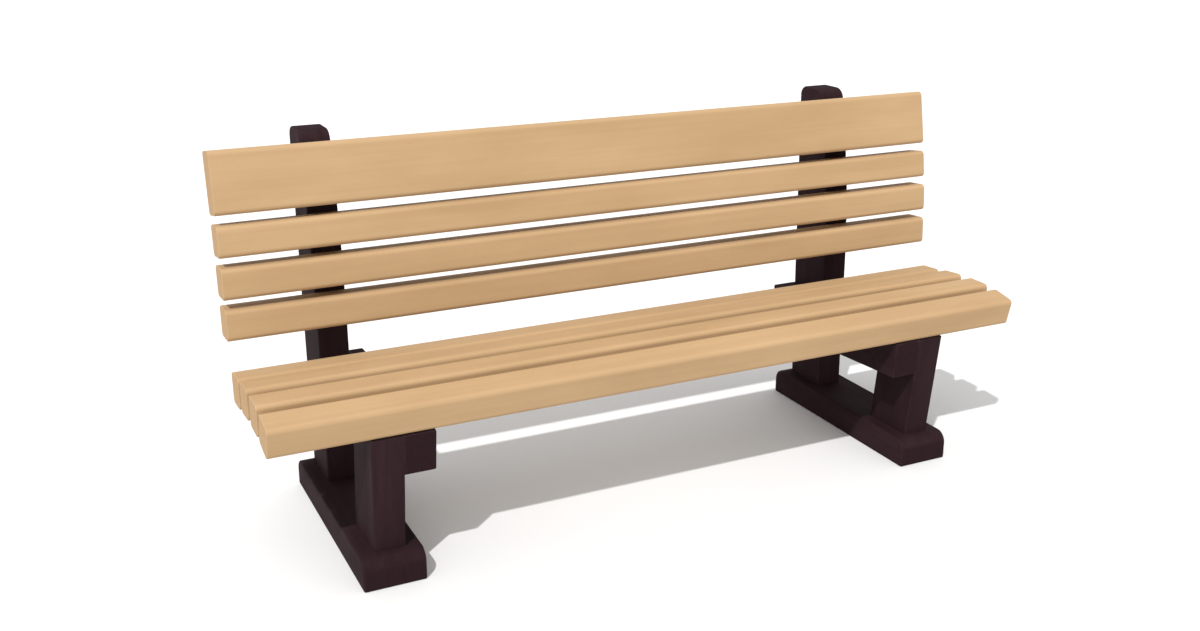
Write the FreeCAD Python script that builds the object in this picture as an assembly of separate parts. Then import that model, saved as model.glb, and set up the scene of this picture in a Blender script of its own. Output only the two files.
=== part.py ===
import FreeCAD, Part
import math
import os

# A park bench with a backrest, built of moulded plastic beams with rounded long edges.
# Eight planks run the whole length of the bench: four square ones make the crowned seat, three
# square ones and a broad one make the leaning back. They rest on two mirrored supports. Each
# support is a runner on the ground, a front leg and a back post standing on it, and a seat bearer
# bolted to the inner sides of both. All beams are cut from two sections, square and double.
#
# Millimetres. X runs along the planks, Y from front to back, Z up. The origin is on the ground,
# under the middle of the bench. The outlines below measure Y from the front of the runners, and
# every piece is moved by MIDDLE_Y when it is written.

# Sections
SQUARE = 74.0  # side of the square section, and thickness of the double one
DOUBLE = 147.0  # width of the double section

# Planks
PLANK_LENGTH = 2000.0
PLANK_ROUND = 11.5  # rounding of the long edges
PLANK_CUT = 1.5  # rounding of the sawn ends

# Seat planks, front to back: where the lower front edge lies (Y, Z) and the rise to the back.
SEAT_PLANKS = [
    (10.5, 354.0, 12.2),
    (93.8, 370.5, 1.0),
    (191.3, 371.0, -4.6),
    (285.5, 360.3, -4.0),
]

# Back planks, lowest first: where the lower front edge lies (Y, Z), the lean and the height.
BACK_PLANKS = [
    (370.3, 495.9, 3.9, SQUARE),
    (376.0, 592.7, 5.3, SQUARE),
    (386.8, 689.5, 8.2, SQUARE),
    (401.0, 785.6, 10.8, DOUBLE),
]

# Supports: X is measured from the middle of the bench to the outside.
SUPPORT_MIDDLE = 741.0
LEG_INSIDE = SUPPORT_MIDDLE - SQUARE / 2  # the face of the leg and the post to the bearer
LEG_OUTSIDE = SUPPORT_MIDDLE + SQUARE / 2
BEARER_INSIDE = LEG_INSIDE - SQUARE
BEARER_MIDDLE = LEG_INSIDE - SQUARE / 2

BEAM_ROUND = 5.0  # rounding of a support beam's free edges
FLUSH_ROUND = 1.0  # rounding where the leg's front lies flush with the bearer's end

RUNNER_LENGTH = 604.0
RUNNER_NOSE = 31.0  # rounding of the runner's upper ends

LEG_FOOT = 38.5  # Y of the leg's front face on the runner
LEG_LEAN = 6.1  # towards the front

BEARER_LOW = 258.5  # height at which the bearer's lower edge would meet Y = 0
BEARER_FALL = 3.1
BEARER_END_TOP = 354.0

POST_FOOT = 430.0  # Y of the post's front face on the runner
POST_REAR = 573.0  # and of its rear face
POST_LEAN = 2.0  # of its rear face
POST_TOP = 943.0
POST_CROWN = 26.0  # rounding of the post's top, front and back
HOUSING = 6.0  # how deep the back planks are let into the post

# Fasteners: shank, across the flats, head, washer's width, washer's thickness, recess.
BOLT = {"shank": 12.0, "across": 18.0, "head": 7.5, "ring": 24.0, "thick": 2.5, "recess": 28.0}
SCREW = {"shank": 8.0, "across": 13.0, "head": 5.5, "ring": 16.0, "thick": 1.5, "recess": 19.0}

# Through bolts, which clamp the bearer to the leg and to the post
BOLTS = [(96.0, 334.0), (96.0, 284.0), (480.0, 314.0), (546.0, 278.0)]
BOLT_DEPTH = 24.0  # of the recess at each end
BOLT_SPARE = 4.0  # thread standing past the nut
NUT = 10.0
CAP = 5.0  # plug that closes each bolt recess
CAP_ROUND = 0.8

# Coach screws, which hold the leg and the post down on the runner
COACH_DEPTH = 18.0  # of the recess under the runner
COACH_BITE = 94.0  # length inside the leg or post
COACH_INSET = 42.0  # from its front and from its back

# Plank screws, driven through the bearers from below and through the posts from behind
SEAT_GRIP = 50.0  # beam left between the washer and the plank
BACK_GRIP = 95.0
SCREW_BITE = 42.0  # length inside the plank

POINT = 0.8  # length of a screw's point, in shank widths
POINT_END = 0.2  # its blunt end, in shank widths
CLEARANCE = 1.0  # by how much a loose hole is wider than what passes through it
REACH = 300.0  # longer than any recess is deep

# The bench reaches from the first plank's upper front edge to the back of the runners.
FRONT_RISE = math.radians(SEAT_PLANKS[0][2])
FRONT_Y = (
    SEAT_PLANKS[0][0]
    + PLANK_ROUND * math.cos(FRONT_RISE)
    - (SQUARE - PLANK_ROUND) * math.sin(FRONT_RISE)
    - PLANK_ROUND
)
MIDDLE_Y = (FRONT_Y + RUNNER_LENGTH) / 2

SIDES = {"left": -1, "right": 1}


def vector(x, y, z):
    return FreeCAD.Vector(x, y, z)


UP = vector(0, 0, 1)


def along(point, angle, distance):
    """The (Y, Z) point that lies distance away, angle degrees up from straight back."""
    turn = math.radians(angle)
    return (point[0] + distance * math.cos(turn), point[1] + distance * math.sin(turn))


def crossing(line_y, start, end):
    """Where the line Y = line_y(Z) crosses the straight line through two (Y, Z) points."""
    slope = (end[1] - start[1]) / (end[0] - start[0])
    low, high = line_y(0.0), line_y(1.0)
    z = (start[1] + slope * (low - start[0])) / (1 - slope * (high - low))
    return (line_y(z), z)


def prism(outline, side, inside, outside):
    """A beam with a Y-Z outline that reaches from inside to outside along X, on one side."""
    x_low = min(side * inside, side * outside)
    corners = [vector(x_low, y, z) for y, z in outline]
    face = Part.Face(Part.makePolygon(corners + corners[:1]))
    return face.extrude(vector(outside - inside, 0, 0))


def rounded(shape, radius, wanted):
    """The shape with each edge that wanted(edge) picks rounded."""
    return shape.makeFillet(radius, [edge for edge in shape.Edges if wanted(edge)])


def is_along_x(edge):
    box = edge.BoundBox
    return box.XLength > 1 and box.YLength < 0.01 and box.ZLength < 0.01


def is_at_x(edge, x):
    box = edge.BoundBox
    return abs(box.XMin - x) < 0.01 and abs(box.XMax - x) < 0.01


def is_level_at(edge, z):
    box = edge.BoundBox
    return abs(box.ZMin - z) < 0.01 and abs(box.ZMax - z) < 0.01


# ---- planks ----


def block(front, rise, height):
    """The square-edged bar a plank is made from, with its lower front edge at front."""
    bar = Part.makeBox(PLANK_LENGTH, SQUARE, height)
    return placed(bar, front, rise)


def placed(bar, front, rise):
    """The bar centred along X, turned up to the back by rise and moved to front."""
    bar.translate(vector(-PLANK_LENGTH / 2, 0, 0))
    bar.rotate(vector(0, 0, 0), vector(1, 0, 0), rise)
    bar.translate(vector(0, front[0], front[1]))
    return bar


def plank(front, rise, height):
    bar = rounded(Part.makeBox(PLANK_LENGTH, SQUARE, height), PLANK_ROUND, is_along_x)
    bar = rounded(bar, PLANK_CUT, lambda edge: is_at_x(edge, 0) or is_at_x(edge, PLANK_LENGTH))
    return placed(bar, front, rise)


def seat_edges(number):
    """The front and back lower edges of a seat plank, which the supports follow."""
    y, z, rise = SEAT_PLANKS[number]
    return [(y, z), along((y, z), rise, SQUARE)]


def back_edges(number):
    """The lower and upper rear edges of a back plank, which the post follows."""
    y, z, lean, height = BACK_PLANKS[number]
    low = along((y, z), -lean, SQUARE)
    return [low, along(low, 90 - lean, height)]


# ---- beams of a support ----


def leg_front(z):
    """Y of the leg's leaning front face at height z. The bearer's front end lies in it too."""
    return LEG_FOOT - (z - SQUARE) * math.tan(math.radians(LEG_LEAN))


def leg_rear(z):
    return leg_front(z) + DOUBLE / math.cos(math.radians(LEG_LEAN))


def post_rear(z):
    return POST_REAR + (z - SQUARE) * math.tan(math.radians(POST_LEAN))


def runner(side):
    """The beam on the ground, with a blunt rounded nose at both upper ends."""
    beam = Part.makeBox(DOUBLE, RUNNER_LENGTH, SQUARE)
    beam.translate(vector(side * SUPPORT_MIDDLE - DOUBLE / 2, 0, 0))
    beam = rounded(beam, RUNNER_NOSE, lambda e: is_along_x(e) and is_level_at(e, SQUARE))
    return rounded(beam, BEAM_ROUND, lambda e: e.BoundBox.XLength < 1 or is_level_at(e, 0))


def leg(side):
    """The front upright, its top cut to the two front planks."""
    first, second = seat_edges(0), seat_edges(1)
    outline = [
        (leg_front(SQUARE), SQUARE),
        (leg_rear(SQUARE), SQUARE),
        crossing(leg_rear, *second),
        second[0],
        first[1],
        crossing(leg_front, *first),
    ]
    beam = prism(outline, side, LEG_INSIDE, LEG_OUTSIDE)
    upright = [e for e in beam.Edges if e.BoundBox.XLength < 0.01 and e.Length > DOUBLE]
    beam = beam.makeFillet(BEAM_ROUND, [e for e in upright if is_at_x(e, side * LEG_OUTSIDE)])
    return rounded(beam, FLUSH_ROUND, lambda e: is_at_x(e, side * LEG_INSIDE) and e.Length > DOUBLE)


def bearer(side):
    """The beam under the seat, its top cut to the four planks that rest on it."""
    top = [edge for number in range(len(SEAT_PLANKS)) for edge in seat_edges(number)]
    fall = math.tan(math.radians(BEARER_FALL))
    low_line = [(0, BEARER_LOW), (1, BEARER_LOW - fall)]
    outline = [
        crossing(leg_front, *low_line),
        crossing(post_rear, *low_line),
        (post_rear(BEARER_END_TOP), BEARER_END_TOP),
        *top[:0:-1],
        crossing(leg_front, *top[:2]),
    ]
    beam = prism(outline, side, BEARER_INSIDE, LEG_INSIDE)
    return rounded(
        beam, BEAM_ROUND, lambda e: is_at_x(e, side * BEARER_INSIDE) and e.Length > SQUARE + 1
    )


def post(side):
    """The beam that carries the back, its top rounded and the planks let into its front."""
    front = [(POST_FOOT, SQUARE)]
    for number, (_, _, lean, _) in enumerate(BACK_PLANKS):
        front += [along(edge, 180 - lean, HOUSING) for edge in back_edges(number)]
    slope = math.tan(math.radians(BACK_PLANKS[-1][2]))
    outline = [
        (post_rear(SQUARE), SQUARE),
        *front,
        (front[-1][0] + (POST_TOP - front[-1][1]) * slope, POST_TOP),
        (post_rear(POST_TOP), POST_TOP),
    ]
    beam = prism(outline, side, LEG_INSIDE, LEG_OUTSIDE)
    beam = rounded(beam, POST_CROWN, lambda e: is_along_x(e) and is_level_at(e, POST_TOP))
    beam = rounded(beam, BEAM_ROUND, lambda e: not is_along_x(e) and not is_level_at(e, SQUARE))
    return beam.cut([block((y, z), -lean, height) for y, z, lean, height in BACK_PLANKS])


# ---- fasteners ----


def rod(start, direction, width, length):
    """A round bar that begins at start."""
    return Part.makeCylinder(width / 2, length, start, direction)


def washer(start, direction, kind):
    hole = rod(start, direction, kind["shank"] + CLEARANCE, kind["thick"])
    return rod(start, direction, kind["ring"], kind["thick"]).cut(hole)


def hexagon(start, direction, across, length):
    """A six-sided head that begins at start, with the corners of its far end bevelled."""
    radius = across / math.sqrt(3)
    turns = [k * math.pi / 3 for k in range(6)]
    corners = [vector(radius * math.cos(turn), radius * math.sin(turn), 0) for turn in turns]
    head = Part.Face(Part.makePolygon(corners + corners[:1])).extrude(UP * length)
    head = head.common(Part.makeCone(across / 2 + length, across / 2, length))
    head.Placement = FreeCAD.Placement(start, FreeCAD.Rotation(UP, direction))
    return head


def pointed_screw(seat, direction, kind, length):
    """A hexagon-headed screw whose head rests at seat and whose point ends length further on."""
    width = kind["shank"]
    point = POINT * width
    shank = rod(seat, direction, width, length - point)
    start = seat + direction * (length - point)
    tip = Part.makeCone(width / 2, POINT_END * width / 2, point, start, direction)
    head = hexagon(seat, direction * -1, kind["across"], kind["head"])
    return head.fuse([shank, tip]).removeSplitter()


def screw_set(entry, direction, kind, grip, bite):
    """A screw that enters the piece it holds at entry, its washer, and the holes in the beam."""
    floor = entry - direction * grip
    seat = floor - direction * kind["thick"]
    screw = pointed_screw(seat, direction, kind, kind["thick"] + grip + bite)
    holes = [
        rod(floor, direction, kind["shank"] + CLEARANCE, grip),
        rod(floor, direction * -1, kind["recess"], REACH),
    ]
    return screw, washer(seat, direction, kind), holes


def coach_screws(side, front, rear):
    """The two screws under a leg or post that stands on the runner from Y = front to rear."""
    return [
        screw_set(vector(side * SUPPORT_MIDDLE, y, SQUARE), UP, BOLT, SQUARE - COACH_DEPTH, COACH_BITE)
        for y in (front + COACH_INSET, rear - COACH_INSET)
    ]


def seat_screws(side):
    """One screw for each seat plank, square to its underside."""
    found = []
    for y, z, rise in SEAT_PLANKS:
        entry = vector(side * BEARER_MIDDLE, *along((y, z), rise, SQUARE / 2))
        turn = math.radians(rise)
        direction = vector(0, -math.sin(turn), math.cos(turn))
        found.append(screw_set(entry, direction, SCREW, SEAT_GRIP, SCREW_BITE))
    return found


def back_screws(side):
    """For each back plank, one screw for each square of its height, square to its rear."""
    found = []
    for number, (_, _, lean, height) in enumerate(BACK_PLANKS):
        low, _ = back_edges(number)
        turn = math.radians(lean)
        direction = vector(0, -math.cos(turn), math.sin(turn))
        count = round(height / SQUARE)
        places = [along(low, 90 - lean, (k + 0.5) * height / count) for k in range(count)]
        entries = [vector(side * SUPPORT_MIDDLE, *place) for place in places]
        found += [screw_set(entry, direction, SCREW, BACK_GRIP, SCREW_BITE) for entry in entries]
    return found


def bolt_set(side, y, z):
    """A bolt through the bearer and the leg or post, with its nut, washers, caps and holes."""
    outside = vector(side * LEG_OUTSIDE, y, z)
    inside = vector(side * BEARER_INSIDE, y, z)
    outward = vector(side, 0, 0)
    inward = outward * -1
    head_floor = outside + inward * BOLT_DEPTH
    nut_floor = inside + outward * BOLT_DEPTH
    head_seat = head_floor + outward * BOLT["thick"]
    nut_seat = nut_floor + inward * BOLT["thick"]
    length = (nut_seat - head_seat).Length + NUT + BOLT_SPARE
    head = hexagon(head_seat, outward, BOLT["across"], BOLT["head"])
    nut = hexagon(nut_seat, inward, BOLT["across"], NUT)
    fasteners = {
        "frame_bolts": [head.fuse(rod(head_seat, inward, BOLT["shank"], length))],
        "frame_nuts": [nut.cut(rod(nut_seat, inward, BOLT["shank"], NUT))],
        "frame_washers": [washer(head_floor, outward, BOLT), washer(nut_floor, inward, BOLT)],
        "bolt_caps": [cap(outside, inward), cap(inside, outward)],
    }
    holes = [
        rod(outside, inward, BOLT["shank"] + CLEARANCE, (outside - inside).Length),
        rod(outside, inward, BOLT["recess"], BOLT_DEPTH),
        rod(inside, outward, BOLT["recess"], BOLT_DEPTH),
    ]
    return fasteners, holes


def cap(face, direction):
    """A plug that fills the mouth of a bolt's recess, with a slightly rounded rim."""
    plug = rod(face, direction, BOLT["recess"], CAP)
    rim = [e for e in plug.Edges if abs((e.BoundBox.Center - face).Length) < 0.01]
    return plug.makeFillet(CAP_ROUND, rim)


# ---- the whole bench ----


def bench():
    """Every node of the bench and its solids."""
    seat = [plank((y, z), rise, SQUARE) for y, z, rise in SEAT_PLANKS]
    back = [plank((y, z), -lean, height) for y, z, lean, height in BACK_PLANKS]
    beams = {}
    fasteners = {"frame_bolts": [], "frame_nuts": [], "frame_washers": [], "bolt_caps": []}
    drives = {"coach": [], "seat_plank": [], "back_plank": []}
    for name, side in SIDES.items():
        leg_screws = coach_screws(side, leg_front(SQUARE), leg_rear(SQUARE))
        post_screws = coach_screws(side, POST_FOOT, POST_REAR)
        into_seat, into_back = seat_screws(side), back_screws(side)
        drives["coach"] += leg_screws + post_screws
        drives["seat_plank"] += into_seat
        drives["back_plank"] += into_back
        bolt_holes = []
        for y, z in BOLTS:
            parts, holes = bolt_set(side, y, z)
            bolt_holes += holes
            for node, solids in parts.items():
                fasteners[node] += solids
        beams[f"{name}_runner"] = runner(side).cut(loose(leg_screws + post_screws))
        beams[f"{name}_front_leg"] = leg(side).cut(bolt_holes + driven(leg_screws))
        beams[f"{name}_back_post"] = post(side).cut(bolt_holes + driven(post_screws) + loose(into_back))
        beams[f"{name}_seat_bearer"] = bearer(side).cut(bolt_holes + loose(into_seat))
    for number, bar in enumerate(seat, 1):
        beams[f"seat_plank_{number}"] = bar.cut(driven(drives["seat_plank"]))
    for number, bar in enumerate(back, 1):
        beams[f"back_plank_{number}"] = bar.cut(driven(drives["back_plank"]))
    nodes = {name: [beam] for name, beam in beams.items()}
    nodes.update(fasteners)
    for name, drive in drives.items():
        nodes[f"{name}_screws"] = driven(drive)
        nodes[f"{name}_washers"] = [ring for _, ring, _ in drive]
    return nodes


def driven(screws):
    return [screw for screw, _, _ in screws]


def loose(screws):
    return [hole for _, _, holes in screws for hole in holes]


def write(name, solids):
    """Writes the solids of one node, moved to the bench's own frame."""
    shape = Part.Compound([solid for piece in solids for solid in piece.Solids])
    shape.translate(vector(0, -MIDDLE_Y, 0))
    if len(shape.Solids) == 1:
        shape = shape.Solids[0]
    shape.exportStep("parts/" + name + ".step")
    box = shape.BoundBox
    size = f"{box.XLength:.1f} x {box.YLength:.1f} x {box.ZLength:.1f}"
    print(f"{name}: {len(shape.Solids)} solid(s), {size}, valid {shape.isValid()}")


os.makedirs("parts", exist_ok=True)
for node, solids in bench().items():
    write(node, solids)
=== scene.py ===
import math

import bmesh
import bpy
from mathutils import Matrix, Vector


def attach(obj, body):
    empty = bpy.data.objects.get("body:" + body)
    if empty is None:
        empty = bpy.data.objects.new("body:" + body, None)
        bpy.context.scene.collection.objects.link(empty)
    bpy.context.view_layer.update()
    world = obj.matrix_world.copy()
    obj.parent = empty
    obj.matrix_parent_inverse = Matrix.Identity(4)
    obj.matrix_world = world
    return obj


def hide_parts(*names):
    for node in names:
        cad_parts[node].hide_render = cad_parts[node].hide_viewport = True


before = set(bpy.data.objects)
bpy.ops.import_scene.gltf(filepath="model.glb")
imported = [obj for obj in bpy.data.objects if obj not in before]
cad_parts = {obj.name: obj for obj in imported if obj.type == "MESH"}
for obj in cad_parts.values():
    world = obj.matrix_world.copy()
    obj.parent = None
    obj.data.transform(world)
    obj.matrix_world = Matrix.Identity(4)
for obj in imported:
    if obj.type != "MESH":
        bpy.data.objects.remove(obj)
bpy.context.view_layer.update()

# The looks of a park bench made of moulded plastic beams: sand-coloured planks on two dark brown
# supports. Lengths in the tables are millimetres, as in the CAD model, and Y counts there from
# the front of the runners. Meshes are in metres in the row's own frame.

MM = 0.001
ROOT = "root"

# ---- the beams, as the CAD model has them ----

SQUARE = 74.0
DOUBLE = 147.0
PLANK_LENGTH = 2000.0
PLANK_ROUND = 11.5
PLANK_CUT = 1.5

SEAT_PLANKS = [
    (10.5, 354.0, 12.2),
    (93.8, 370.5, 1.0),
    (191.3, 371.0, -4.6),
    (285.5, 360.3, -4.0),
]
BACK_PLANKS = [
    (370.3, 495.9, 3.9, SQUARE),
    (376.0, 592.7, 5.3, SQUARE),
    (386.8, 689.5, 8.2, SQUARE),
    (401.0, 785.6, 10.8, DOUBLE),
]

SUPPORT_MIDDLE = 741.0
LEG_INSIDE = SUPPORT_MIDDLE - SQUARE / 2
LEG_OUTSIDE = SUPPORT_MIDDLE + SQUARE / 2
BEARER_INSIDE = LEG_INSIDE - SQUARE
BEARER_MIDDLE = LEG_INSIDE - SQUARE / 2
BEAM_ROUND = 5.0
FLUSH_ROUND = 1.0
RUNNER_LENGTH = 604.0
RUNNER_NOSE = 31.0
LEG_FOOT = 38.5
LEG_LEAN = 6.1
BEARER_LOW = 258.5
BEARER_FALL = 3.1
BEARER_END_TOP = 354.0
POST_FOOT = 430.0
POST_REAR = 573.0
POST_LEAN = 2.0
POST_TOP = 943.0
POST_CROWN = 26.0
HOUSING = 6.0

# Holes: recess width, loose hole width, and where they are.
BOLT_RECESS = 28.0
BOLT_HOLE = 13.0
BOLT_DEPTH = 24.0
BOLTS = [(96.0, 334.0), (96.0, 284.0), (480.0, 314.0), (546.0, 278.0)]
COACH_DEPTH = 18.0
COACH_INSET = 42.0
SCREW_RECESS = 19.0
SCREW_HOLE = 9.0
SEAT_GRIP = 50.0
BACK_GRIP = 95.0
REACH = 300.0  # longer than any recess is deep

# The bench is centred from the first plank's upper front edge to the back of the runners.
FRONT_RISE = math.radians(SEAT_PLANKS[0][2])
FRONT_Y = (
    SEAT_PLANKS[0][0]
    + PLANK_ROUND * math.cos(FRONT_RISE)
    - (SQUARE - PLANK_ROUND) * math.sin(FRONT_RISE)
    - PLANK_ROUND
)
MIDDLE_Y = (FRONT_Y + RUNNER_LENGTH) / 2

CORNER_STEPS = 10  # facets of a plank's rounded corner
ROUND_STEPS = 6  # of a support's small roundings
NOSE_STEPS = 16  # of its large ones
HOLE_STEPS = 40


def place(x, y, z):
    """A point of the tables in the row frame, in metres."""
    return Vector((x, y - MIDDLE_Y, z)) * MM


def along(point, angle, distance):
    """The (Y, Z) point that lies distance away, angle degrees up from straight back."""
    turn = math.radians(angle)
    return (point[0] + distance * math.cos(turn), point[1] + distance * math.sin(turn))


def crossing(line_y, start, end):
    """Where the line Y = line_y(Z) crosses the straight line through two (Y, Z) points."""
    slope = (end[1] - start[1]) / (end[0] - start[0])
    low, high = line_y(0.0), line_y(1.0)
    z = (start[1] + slope * (low - start[0])) / (1 - slope * (high - low))
    return (line_y(z), z)


def seat_edges(number):
    y, z, rise = SEAT_PLANKS[number]
    return [(y, z), along((y, z), rise, SQUARE)]


def back_edges(number):
    y, z, lean, height = BACK_PLANKS[number]
    low = along((y, z), -lean, SQUARE)
    return [low, along(low, 90 - lean, height)]


def leg_front(z):
    return LEG_FOOT - (z - SQUARE) * math.tan(math.radians(LEG_LEAN))


def leg_rear(z):
    return leg_front(z) + DOUBLE / math.cos(math.radians(LEG_LEAN))


def post_rear(z):
    return POST_REAR + (z - SQUARE) * math.tan(math.radians(POST_LEAN))


# ---- planks ----

PLANK_STATIONS = 48  # lengths between rings of a plank
BOW = 0.35  # how far a moulded plank strays from straight
RIPPLE = 0.12  # shallow waves that moulding leaves in its faces
RIPPLE_ALONG = 21  # radians of those waves over the plank's length
RIPPLE_AROUND = 0.06  # and over each millimetre of its section
HOLD = 1.2  # distance of the loops that keep the flat faces flat beside a rounding


def plank_section(height, inset):
    """Points around a plank's section, (depth, height) for each, drawn in by inset."""
    radius = PLANK_ROUND - inset
    points = []
    corners = [
        (SQUARE - PLANK_ROUND, PLANK_ROUND, -90),
        (SQUARE - PLANK_ROUND, height - PLANK_ROUND, 0),
        (PLANK_ROUND, height - PLANK_ROUND, 90),
        (PLANK_ROUND, PLANK_ROUND, 180),
    ]
    for depth, level, first in corners:
        arc = []
        for step in range(CORNER_STEPS + 1):
            turn = math.radians(first + 90 * step / CORNER_STEPS)
            normal = (math.cos(turn), math.sin(turn))
            arc.append((depth + radius * normal[0], level + radius * normal[1]))
        start, end = math.radians(first - 90), math.radians(first + 180)
        before = (arc[0][0] + HOLD * math.cos(start), arc[0][1] + HOLD * math.sin(start))
        after = (arc[-1][0] + HOLD * math.cos(end), arc[-1][1] + HOLD * math.sin(end))
        points += [before, *arc, after]
    return points


def plank_rings():
    """(X, inset) of each ring, from one sawn end to the other."""
    end = PLANK_LENGTH / 2
    lip = [
        (end - PLANK_CUT * (1 - math.sin(turn)), PLANK_CUT * (1 - math.cos(turn)))
        for turn in (math.pi / 2 * step / 4 for step in range(5))
    ]
    lip.insert(0, (end - PLANK_CUT - HOLD, 0.0))
    lip.append((end, PLANK_CUT + HOLD))
    reach = end - PLANK_CUT - 2 * HOLD
    body = [(-reach + 2 * reach * k / PLANK_STATIONS, 0.0) for k in range(PLANK_STATIONS + 1)]
    return [(-x, inset) for x, inset in reversed(lip)] + body + lip


def plank_mesh(name, front, rise, height, phase):
    """A moulded plank with rounded long edges, sawn ends and a faint bow and ripple."""
    mesh = bmesh.new()
    turn = math.radians(rise)
    rings = []
    for x, inset in plank_rings():
        share = x / PLANK_LENGTH
        stray = math.cos(math.pi * share)
        bow_depth = BOW * math.sin(phase) * stray
        bow_level = BOW * math.cos(phase * 1.7) * stray
        ring = []
        for depth, level in plank_section(height, inset):
            around = RIPPLE_AROUND * (depth + level) + phase * 2.3
            wave = math.sin(RIPPLE_ALONG * share + phase) * math.sin(around)
            sink = RIPPLE * wave * stray
            d = depth + bow_depth - sink * (depth / SQUARE - 0.5)
            h = level + bow_level - sink * (level / height - 0.5)
            y = front[0] + d * math.cos(turn) - h * math.sin(turn)
            z = front[1] + d * math.sin(turn) + h * math.cos(turn)
            ring.append(mesh.verts.new(place(x, y, z)))
        rings.append(ring)
    for low, high in zip(rings, rings[1:]):
        for k in range(len(low)):
            after = (k + 1) % len(low)
            mesh.faces.new((low[k], low[after], high[after], high[k]))
    mesh.faces.new(rings[0][::-1])
    mesh.faces.new(rings[-1])
    return finished(mesh, name)


def finished(mesh, name):
    """The bmesh as a linked object with outward normals and smooth shading."""
    bmesh.ops.recalc_face_normals(mesh, faces=mesh.faces)
    for face in mesh.faces:
        face.smooth = True
    data = bpy.data.meshes.new(name)
    mesh.to_mesh(data)
    mesh.free()
    piece = bpy.data.objects.new(name, data)
    bpy.context.scene.collection.objects.link(piece)
    return piece


# ---- support beams ----


def prism(outline, side, inside, outside):
    """A bmesh beam with a Y-Z outline that reaches from inside to outside along X."""
    mesh = bmesh.new()
    near = [mesh.verts.new(place(side * inside, y, z)) for y, z in outline]
    far = [mesh.verts.new(place(side * outside, y, z)) for y, z in outline]
    mesh.faces.new(near)
    mesh.faces.new(far[::-1])
    for k in range(len(outline)):
        after = (k + 1) % len(outline)
        mesh.faces.new((near[after], near[k], far[k], far[after]))
    bmesh.ops.recalc_face_normals(mesh, faces=mesh.faces)
    return mesh


def spans(edge, axis):
    """How far an edge reaches along an axis, in millimetres."""
    return abs(edge.verts[0].co[axis] - edge.verts[1].co[axis]) / MM


def lies_at(edge, axis, value):
    """Whether both ends of an edge are at a row-frame coordinate, given in millimetres."""
    return all(abs(vert.co[axis] / MM - value) < 0.05 for vert in edge.verts)


def bevelled(mesh, radius, steps, wanted):
    """Rounds each edge that wanted(edge) picks."""
    edges = [edge for edge in mesh.edges if wanted(edge)]
    bmesh.ops.bevel(
        mesh,
        geom=edges,
        offset=radius * MM,
        offset_type="OFFSET",
        segments=steps,
        profile=0.5,
        affect="EDGES",
        clamp_overlap=False,
    )


def runner(side):
    low, high = SUPPORT_MIDDLE - DOUBLE / 2, SUPPORT_MIDDLE + DOUBLE / 2
    outline = [(0, 0), (RUNNER_LENGTH, 0), (RUNNER_LENGTH, SQUARE), (0, SQUARE)]
    mesh = prism(outline, side, low, high)
    bevelled(mesh, RUNNER_NOSE, NOSE_STEPS, lambda e: spans(e, 0) > 1 and lies_at(e, 2, SQUARE))
    bevelled(mesh, BEAM_ROUND, ROUND_STEPS, lambda e: spans(e, 0) < 1 or lies_at(e, 2, 0))
    return mesh


def leg(side):
    first, second = seat_edges(0), seat_edges(1)
    outline = [
        (leg_front(SQUARE), SQUARE),
        (leg_rear(SQUARE), SQUARE),
        crossing(leg_rear, *second),
        second[0],
        first[1],
        crossing(leg_front, *first),
    ]
    mesh = prism(outline, side, LEG_INSIDE, LEG_OUTSIDE)
    for x, radius in ((LEG_OUTSIDE, BEAM_ROUND), (LEG_INSIDE, FLUSH_ROUND)):
        bevelled(
            mesh, radius, ROUND_STEPS, lambda e: lies_at(e, 0, side * x) and spans(e, 2) > DOUBLE
        )
    return mesh


def bearer(side):
    top = [edge for number in range(len(SEAT_PLANKS)) for edge in seat_edges(number)]
    fall = math.tan(math.radians(BEARER_FALL))
    low_line = [(0, BEARER_LOW), (1, BEARER_LOW - fall)]
    outline = [
        crossing(leg_front, *low_line),
        crossing(post_rear, *low_line),
        (post_rear(BEARER_END_TOP), BEARER_END_TOP),
        *top[:0:-1],
        crossing(leg_front, *top[:2]),
    ]
    mesh = prism(outline, side, BEARER_INSIDE, LEG_INSIDE)

    def free(e):
        return lies_at(e, 0, side * BEARER_INSIDE) and e.calc_length() / MM > SQUARE + 1

    bevelled(mesh, BEAM_ROUND, ROUND_STEPS, free)
    return mesh


def post(side):
    front = [(POST_FOOT, SQUARE)]
    for number, (_, _, lean, _) in enumerate(BACK_PLANKS):
        front += [along(edge, 180 - lean, HOUSING) for edge in back_edges(number)]
    slope = math.tan(math.radians(BACK_PLANKS[-1][2]))
    outline = [
        (post_rear(SQUARE), SQUARE),
        *front,
        (front[-1][0] + (POST_TOP - front[-1][1]) * slope, POST_TOP),
        (post_rear(POST_TOP), POST_TOP),
    ]
    mesh = prism(outline, side, LEG_INSIDE, LEG_OUTSIDE)
    bevelled(mesh, POST_CROWN, NOSE_STEPS, lambda e: spans(e, 0) > 1 and lies_at(e, 2, POST_TOP))
    bevelled(mesh, BEAM_ROUND, ROUND_STEPS, lambda e: spans(e, 0) < 1 and not lies_at(e, 2, SQUARE))
    return mesh


# ---- holes ----


def drill(start, direction, width, length):
    """A bmesh cylinder to cut with, from start (row frame, metres) along direction."""
    mesh = bmesh.new()
    turn = direction.to_track_quat("Z", "Y").to_matrix().to_4x4()
    middle = start + direction * (length * MM / 2)
    bmesh.ops.create_cone(
        mesh,
        cap_ends=True,
        segments=HOLE_STEPS,
        radius1=width * MM / 2,
        radius2=width * MM / 2,
        depth=length * MM,
        matrix=Matrix.Translation(middle) @ turn,
    )
    return mesh


def screw_drills(entry, direction, loose, recess, grip):
    """The loose hole behind the point where a screw enters what it holds, and its recess."""
    floor = entry - direction * grip * MM
    return [
        drill(floor, -direction, recess, REACH),
        drill(floor - direction * MM, direction, loose, grip + 1),
    ]


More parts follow.
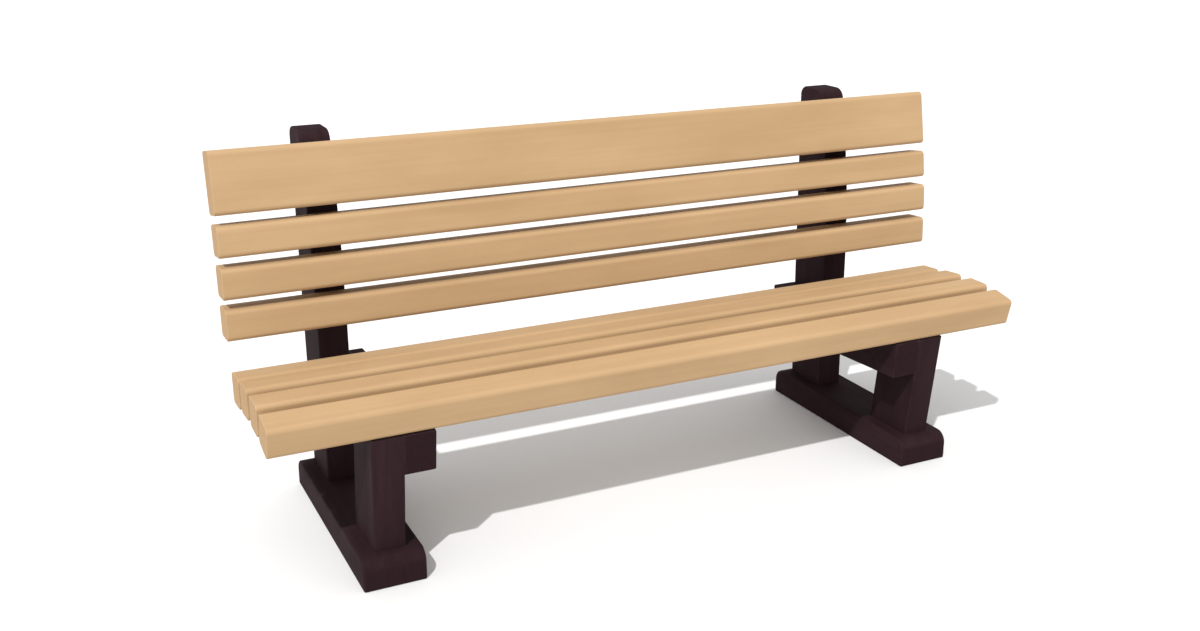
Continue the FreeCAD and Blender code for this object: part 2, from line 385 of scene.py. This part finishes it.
def bolt_drills(side):
    inward = Vector((-side, 0, 0))
    tools = []
    for y, z in BOLTS:
        outside, inside = place(side * LEG_OUTSIDE, y, z), place(side * BEARER_INSIDE, y, z)
        through = (outside - inside).length / MM + 2
        tools.append(drill(outside - inward * MM, inward, BOLT_HOLE, through))
        tools.append(drill(outside - inward * MM, inward, BOLT_RECESS, BOLT_DEPTH + 1))
        tools.append(drill(inside + inward * MM, -inward, BOLT_RECESS, BOLT_DEPTH + 1))
    return tools


def coach_drills(side):
    tools = []
    for front, rear in ((leg_front(SQUARE), leg_rear(SQUARE)), (POST_FOOT, POST_REAR)):
        for y in (front + COACH_INSET, rear - COACH_INSET):
            entry = place(side * SUPPORT_MIDDLE, y, SQUARE + 1)
            grip = SQUARE - COACH_DEPTH + 1
            tools += screw_drills(entry, Vector((0, 0, 1)), BOLT_HOLE, BOLT_RECESS, grip)
    return tools


def seat_drills(side):
    tools = []
    for y, z, rise in SEAT_PLANKS:
        turn = math.radians(rise)
        direction = Vector((0, -math.sin(turn), math.cos(turn)))
        entry = place(side * BEARER_MIDDLE, *along((y, z), rise, SQUARE / 2)) + direction * MM
        tools += screw_drills(entry, direction, SCREW_HOLE, SCREW_RECESS, SEAT_GRIP + 1)
    return tools


def back_drills(side):
    tools = []
    for number, (_, _, lean, height) in enumerate(BACK_PLANKS):
        low, _ = back_edges(number)
        turn = math.radians(lean)
        direction = Vector((0, -math.cos(turn), math.sin(turn)))
        count = round(height / SQUARE)
        for k in range(count):
            spot = along(low, 90 - lean, (k + 0.5) * height / count)
            entry = place(side * SUPPORT_MIDDLE, *spot) + direction * MM
            tools += screw_drills(entry, direction, SCREW_HOLE, SCREW_RECESS, BACK_GRIP + 1)
    return tools


def housings():
    """Square-edged copies of the back planks, which the posts are cut to."""
    tools = []
    for y, z, lean, height in BACK_PLANKS:
        front_low = (y, z)
        front_high = along(front_low, 90 - lean, height)
        rear_low, rear_high = along(front_low, -lean, SQUARE), along(front_high, -lean, SQUARE)
        outline = [front_low, rear_low, rear_high, front_high]
        tools.append(prism(outline, 1, -PLANK_LENGTH / 2, PLANK_LENGTH / 2))
    return tools


SHARP_ANGLE = math.radians(38)


def cut(name, mesh, tools):
    """The beam as an object, with every tool cut out of it and its flat faces shaded flat."""
    piece = finished(mesh, name)
    cutters = [finished(tool, f"{name}_tool_{k}") for k, tool in enumerate(tools)]
    for cutter in cutters:
        boolean = piece.modifiers.new(cutter.name, "BOOLEAN")
        boolean.operation = "DIFFERENCE"
        boolean.solver = "EXACT"
        boolean.object = cutter
    depsgraph = bpy.context.evaluated_depsgraph_get()
    result = bpy.data.meshes.new_from_object(piece.evaluated_get(depsgraph), depsgraph=depsgraph)
    piece.modifiers.clear()
    piece.data = result
    for cutter in cutters:
        bpy.data.objects.remove(cutter)
    result.shade_smooth()
    result.set_sharp_from_angle(angle=SHARP_ANGLE)
    normals = piece.modifiers.new("face_normals", "WEIGHTED_NORMAL")
    normals.keep_sharp = True
    return piece


# ---- materials ----

# Linear colours. Scales are features for each metre; a pair is along the beam and across it.
SAND_WORN = (0.52, 0.37, 0.22, 1)
SAND = (0.424, 0.276, 0.145, 1)
SAND_LIGHT = (0.465, 0.310, 0.166, 1)
SAND_DARK = (0.345, 0.217, 0.107, 1)
BROWN_WORN = (0.062, 0.036, 0.038, 1)
BROWN = (0.0225, 0.0105, 0.0125, 1)
BROWN_LIGHT = (0.0315, 0.0158, 0.0180, 1)
BROWN_DARK = (0.0155, 0.0070, 0.0088, 1)
FLOOR_TONE = (0.70, 0.70, 0.70, 1)
FLOOR_LIGHT = (0.715, 0.715, 0.715, 1)
SAND_TONES = (SAND, SAND_LIGHT, SAND_DARK, SAND_WORN)
BROWN_TONES = (BROWN, BROWN_LIGHT, BROWN_DARK, BROWN_WORN)
ZINC = (0.50, 0.52, 0.55, 1)
ZINC_LIGHT = (0.66, 0.67, 0.68, 1)
ZINC_DULL = (0.42, 0.43, 0.44, 1)

STREAKS = (1.6, 70.0)
CLOUDS = (2.5, 9.0)
SAW_MARKS = (18.0, 640.0)
GRAIN = 420.0
PITS = 900.0
VOIDS = 240.0
SCUFFS = 28.0
SCUFF_WIDTH = 0.004
END_ROUGHER = 0.14  # what a sawn end adds to the roughness
SPANGLE = 260.0
DULL_PATCHES = 60.0
TURNED_LINES = (90.0, 90.0, 2400.0)
FLOOR_MOTTLE = 1.5

class Nodes:
    """A small helper that builds one material's node tree."""

    def __init__(self, name):
        self.material = bpy.data.materials.new(name)
        self.material.use_nodes = True
        self.tree = self.material.node_tree
        self.shader = self.tree.nodes["Principled BSDF"]
        self.position = self.add("ShaderNodeTexCoord").outputs["Object"]
        self.facing = self.position.node.outputs["Normal"]

    def add(self, kind, **settings):
        node = self.tree.nodes.new(kind)
        for key, value in settings.items():
            setattr(node, key, value)
        return node

    def link(self, source, target):
        self.tree.links.new(source, target)

    def put(self, socket, value):
        if isinstance(value, bpy.types.NodeSocket):
            self.link(value, socket)
        else:
            socket.default_value = value

    def math(self, operation, first, second=0.0, clamp=False):
        node = self.add("ShaderNodeMath", operation=operation, use_clamp=clamp)
        self.put(node.inputs[0], first)
        self.put(node.inputs[1], second)
        return node.outputs[0]

    def noise(self, scale, detail=3.0, rough=0.5, distortion=0.0, offset=(0, 0, 0)):
        """Noise whose features measure one over scale, in metres, along each axis."""
        mapping = self.add("ShaderNodeMapping")
        self.link(self.position, mapping.inputs["Vector"])
        mapping.inputs["Scale"].default_value = scale
        mapping.inputs["Location"].default_value = offset
        node = self.add("ShaderNodeTexNoise")
        self.link(mapping.outputs[0], node.inputs["Vector"])
        node.inputs["Scale"].default_value = 1.0
        node.inputs["Detail"].default_value = detail
        node.inputs["Roughness"].default_value = rough
        node.inputs["Distortion"].default_value = distortion
        return node.outputs["Fac"]

    def spread(self, value, low, high, to_low=0.0, to_high=1.0):
        """The value stretched from low..high to to_low..to_high, and held there."""
        node = self.add("ShaderNodeMapRange")
        self.link(value, node.inputs["Value"])
        for socket, number in zip(node.inputs[1:5], (low, high, to_low, to_high)):
            socket.default_value = number
        return node.outputs[0]

    def mix(self, share, first, second):
        node = self.add("ShaderNodeMix", data_type="RGBA")
        self.put(node.inputs["Factor"], share)
        self.put(node.inputs[6], first)
        self.put(node.inputs[7], second)
        return node.outputs[2]

    def bump(self, height, distance, strength, below=None):
        node = self.add("ShaderNodeBump")
        self.link(height, node.inputs["Height"])
        node.inputs["Distance"].default_value = distance
        node.inputs["Strength"].default_value = strength
        if below is not None:
            self.link(below, node.inputs["Normal"])
        return node.outputs[0]

    def edges(self, width):
        """High along the piece's convex and concave edges, over about a width in metres."""
        soft = self.add("ShaderNodeBevel", samples=6)
        soft.inputs["Radius"].default_value = width
        product = self.add("ShaderNodeVectorMath", operation="DOT_PRODUCT")
        self.link(soft.outputs[0], product.inputs[0])
        self.link(self.add("ShaderNodeNewGeometry").outputs["Normal"], product.inputs[1])
        return self.spread(product.outputs["Value"], 0.995, 0.86)

    def axis_part(self, vector, axis):
        node = self.add("ShaderNodeSeparateXYZ")
        self.link(vector, node.inputs[0])
        return node.outputs[axis]


def stretched(axis, lengthwise, across):
    """A noise scale with one value along an axis and another across it."""
    return tuple(lengthwise if k == axis else across for k in range(3))


def even(scale):
    """A noise scale that is the same along every axis."""
    return (scale, scale, scale)


def plastic(name, tones, axis, roughness, specular, contrast, wear):
    """Solid-coloured moulded plastic: drawn streaks along axis, mottling, pores, sawn ends."""
    tone, light, dark, worn_tone = tones
    n = Nodes(name)
    streaks = n.noise(stretched(axis, *STREAKS), detail=4, rough=0.55, distortion=0.3)
    clouds = n.noise(stretched(axis, *CLOUDS), detail=3, offset=(3.1, 7.7, 1.9))
    grain = n.noise(even(GRAIN), detail=4, rough=0.6)
    pits = n.noise(even(PITS), detail=1, offset=(5.0, 1.0, 2.0))
    drawn = n.mix(n.spread(streaks, 0.36, 0.66, 0.0, contrast), tone, light)
    drawn = n.mix(n.spread(clouds, 0.35, 0.7, 0.0, contrast), drawn, dark)
    drawn = n.mix(n.spread(grain, 0.55, 0.8, 0.0, contrast * 0.7), drawn, dark)
    pores = n.spread(pits, 0.72, 0.78)
    colour = n.mix(n.math("MULTIPLY", pores, 0.25 * contrast), drawn, dark)
    # the sawn ends: saw marks and small voids
    end = n.spread(n.math("ABSOLUTE", n.axis_part(n.facing, axis)), 0.93, 0.98)
    marks = n.noise(stretched(2 if axis != 2 else 0, *SAW_MARKS), detail=3, rough=0.6)
    voids = n.spread(n.noise(even(VOIDS), detail=2, offset=(9, 4, 6)), 0.66, 0.72)
    sawn = n.mix(n.spread(marks, 0.3, 0.7, 0.0, contrast * 1.4), tone, dark)
    sawn = n.mix(n.math("MULTIPLY", voids, 0.5), sawn, dark)
    colour = n.mix(end, colour, sawn)
    # edges scuffed paler by use, in patches
    scuffs = n.spread(n.noise(even(SCUFFS), detail=4, rough=0.65), 0.46, 0.62)
    worn_edge = n.math("MULTIPLY", n.edges(SCUFF_WIDTH), scuffs)
    scuffed = n.mix(n.math("MULTIPLY", worn_edge, wear), colour, worn_tone)
    n.link(scuffed, n.shader.inputs["Base Color"])
    gloss = n.spread(grain, 0.3, 0.7, roughness - 0.06, roughness + 0.08)
    worn = n.spread(clouds, 0.4, 0.65, -0.03, 0.05)
    sawn_rough = n.math("MULTIPLY", end, END_ROUGHER)
    rough = n.math("ADD", n.math("ADD", gloss, worn), sawn_rough, clamp=True)
    n.link(rough, n.shader.inputs["Roughness"])
    n.shader.inputs["Specular IOR Level"].default_value = specular
    relief = n.bump(streaks, 0.0006, 0.35)
    relief = n.bump(grain, 0.0003, 0.3, relief)
    relief = n.bump(n.math("MULTIPLY", pores, -1.0), 0.0003, 0.4, relief)
    cuts = n.math("MULTIPLY", n.math("SUBTRACT", marks, voids), end)
    n.link(n.bump(cuts, 0.0005, 0.5, relief), n.shader.inputs["Normal"])
    return n.material


def zinc(name):
    """Zinc-plated steel: a faint spangle, dull patches and turned lines."""
    n = Nodes(name)
    spangle = n.noise(even(SPANGLE), detail=2, distortion=0.6)
    dull = n.noise(even(DULL_PATCHES), detail=4, rough=0.6)
    lines = n.noise(TURNED_LINES, detail=2)
    tone = n.mix(n.spread(spangle, 0.35, 0.65), ZINC, ZINC_LIGHT)
    colour = n.mix(n.spread(dull, 0.5, 0.7, 0.0, 0.6), tone, ZINC_DULL)
    n.link(colour, n.shader.inputs["Base Color"])
    n.link(n.spread(dull, 0.3, 0.7, 0.28, 0.55), n.shader.inputs["Roughness"])
    n.shader.inputs["Metallic"].default_value = 1.0
    n.link(n.bump(lines, 0.0001, 0.3), n.shader.inputs["Normal"])
    return n.material


def paving(name):
    """The pale, even studio floor."""
    n = Nodes(name)
    faint = n.noise(even(FLOOR_MOTTLE), detail=3)
    colour = n.mix(n.spread(faint, 0.3, 0.7), FLOOR_TONE, FLOOR_LIGHT)
    n.link(colour, n.shader.inputs["Base Color"])
    n.shader.inputs["Roughness"].default_value = 0.9
    n.shader.inputs["Specular IOR Level"].default_value = 0.05
    return n.material


sand = plastic("sand_plastic", SAND_TONES, 0, 0.62, 0.2, 0.55, 0.35)
brown_lengthwise = plastic("brown_plastic_lying", BROWN_TONES, 1, 0.76, 0.06, 0.75, 0.5)
brown_upright = plastic("brown_plastic_upright", BROWN_TONES, 2, 0.76, 0.06, 0.75, 0.5)
steel = zinc("zinc_steel")


# ---- the pieces ----


def dress(piece, material, node):
    piece.data.materials.clear()
    piece.data.materials.append(material)
    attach(piece, ROOT)
    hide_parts(node)


for number, (y, z, rise) in enumerate(SEAT_PLANKS, 1):
    node = f"seat_plank_{number}"
    board = plank_mesh(f"visual_{node}", (y, z), rise, SQUARE, 1.3 * number)
    dress(board, sand, node)
for number, (y, z, lean, height) in enumerate(BACK_PLANKS, 1):
    node = f"back_plank_{number}"
    board = plank_mesh(f"visual_{node}", (y, z), -lean, height, 1.3 * number + 0.7)
    dress(board, sand, node)

for name, side in (("left", -1), ("right", 1)):
    post_tools = bolt_drills(side) + back_drills(side) + housings()
    beams = [
        ("runner", runner(side), coach_drills(side), brown_lengthwise),
        ("front_leg", leg(side), bolt_drills(side), brown_upright),
        ("back_post", post(side), post_tools, brown_upright),
        ("seat_bearer", bearer(side), bolt_drills(side) + seat_drills(side), brown_lengthwise),
    ]
    for beam_name, mesh, tools, material in beams:
        node = f"{name}_{beam_name}"
        beam = cut(f"visual_{node}", mesh, tools)
        dress(beam, material, node)

# the fasteners keep their CAD shape and get a better material
STEEL_NODES = [
    "frame_bolts",
    "frame_nuts",
    "frame_washers",
    "coach_screws",
    "coach_washers",
    "seat_plank_screws",
    "seat_plank_washers",
    "back_plank_screws",
    "back_plank_washers",
]
for node in [*STEEL_NODES, "bolt_caps"]:
    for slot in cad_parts[node].material_slots:
        slot.material = brown_upright if node == "bolt_caps" else steel

# ---- floor, light and camera ----

FLOOR_HALF = 40.0
floor_mesh = bpy.data.meshes.new("studio_floor")
corners = [(-1, -1), (1, -1), (1, 1), (-1, 1)]
floor_corners = [(x * FLOOR_HALF, y * FLOOR_HALF, 0) for x, y in corners]
floor_mesh.from_pydata(floor_corners, [], [(0, 1, 2, 3)])
floor_mesh.materials.append(paving("pale_floor"))
floor = bpy.data.objects.new("studio_floor", floor_mesh)
bpy.context.scene.collection.objects.link(floor)

SUN_TRAVEL = Vector((0.585, 0.60, -1.0))  # from the left front, about fifty degrees high
SUN_STRENGTH = 3.1
SUN_SOFTNESS = math.radians(1.2)
SKY_STRENGTH = 0.95

sun_data = bpy.data.lights.new("key", "SUN")
sun_data.energy = SUN_STRENGTH
sun_data.angle = SUN_SOFTNESS
sun = bpy.data.objects.new("key", sun_data)
sun.rotation_euler = SUN_TRAVEL.to_track_quat("-Z", "Y").to_euler()
bpy.context.scene.collection.objects.link(sun)

world = bpy.data.worlds.new("studio")
world.use_nodes = True
background = world.node_tree.nodes["Background"]
background.inputs["Color"].default_value = (1.0, 1.0, 1.0, 1)
background.inputs["Strength"].default_value = SKY_STRENGTH
bpy.context.scene.world = world

CAMERA_PLACE = (-1.44045, -2.72682, 1.49222)
CAMERA_YAW = 25.633  # degrees from +Y towards +X
CAMERA_PITCH = -17.581
CAMERA_ROLL = 0.082
LENS = 37.97
SHIFT = (0.01275, -0.02442)

camera_data = bpy.data.cameras.new("camera")
camera_data.lens = LENS
camera_data.sensor_width = 36.0
camera_data.shift_x, camera_data.shift_y = SHIFT
camera_data.clip_end = 200.0
camera = bpy.data.objects.new("camera", camera_data)
facing = (
    Matrix.Rotation(math.radians(-CAMERA_YAW), 4, "Z")
    @ Matrix.Rotation(math.radians(90 + CAMERA_PITCH), 4, "X")
    @ Matrix.Rotation(math.radians(CAMERA_ROLL), 4, "Z")
)
camera.matrix_world = Matrix.Translation(CAMERA_PLACE) @ facing
bpy.context.scene.collection.objects.link(camera)
bpy.context.scene.camera = camera

bpy.context.scene.view_settings.view_transform = "Standard"
bpy.context.scene.view_settings.look = "None"
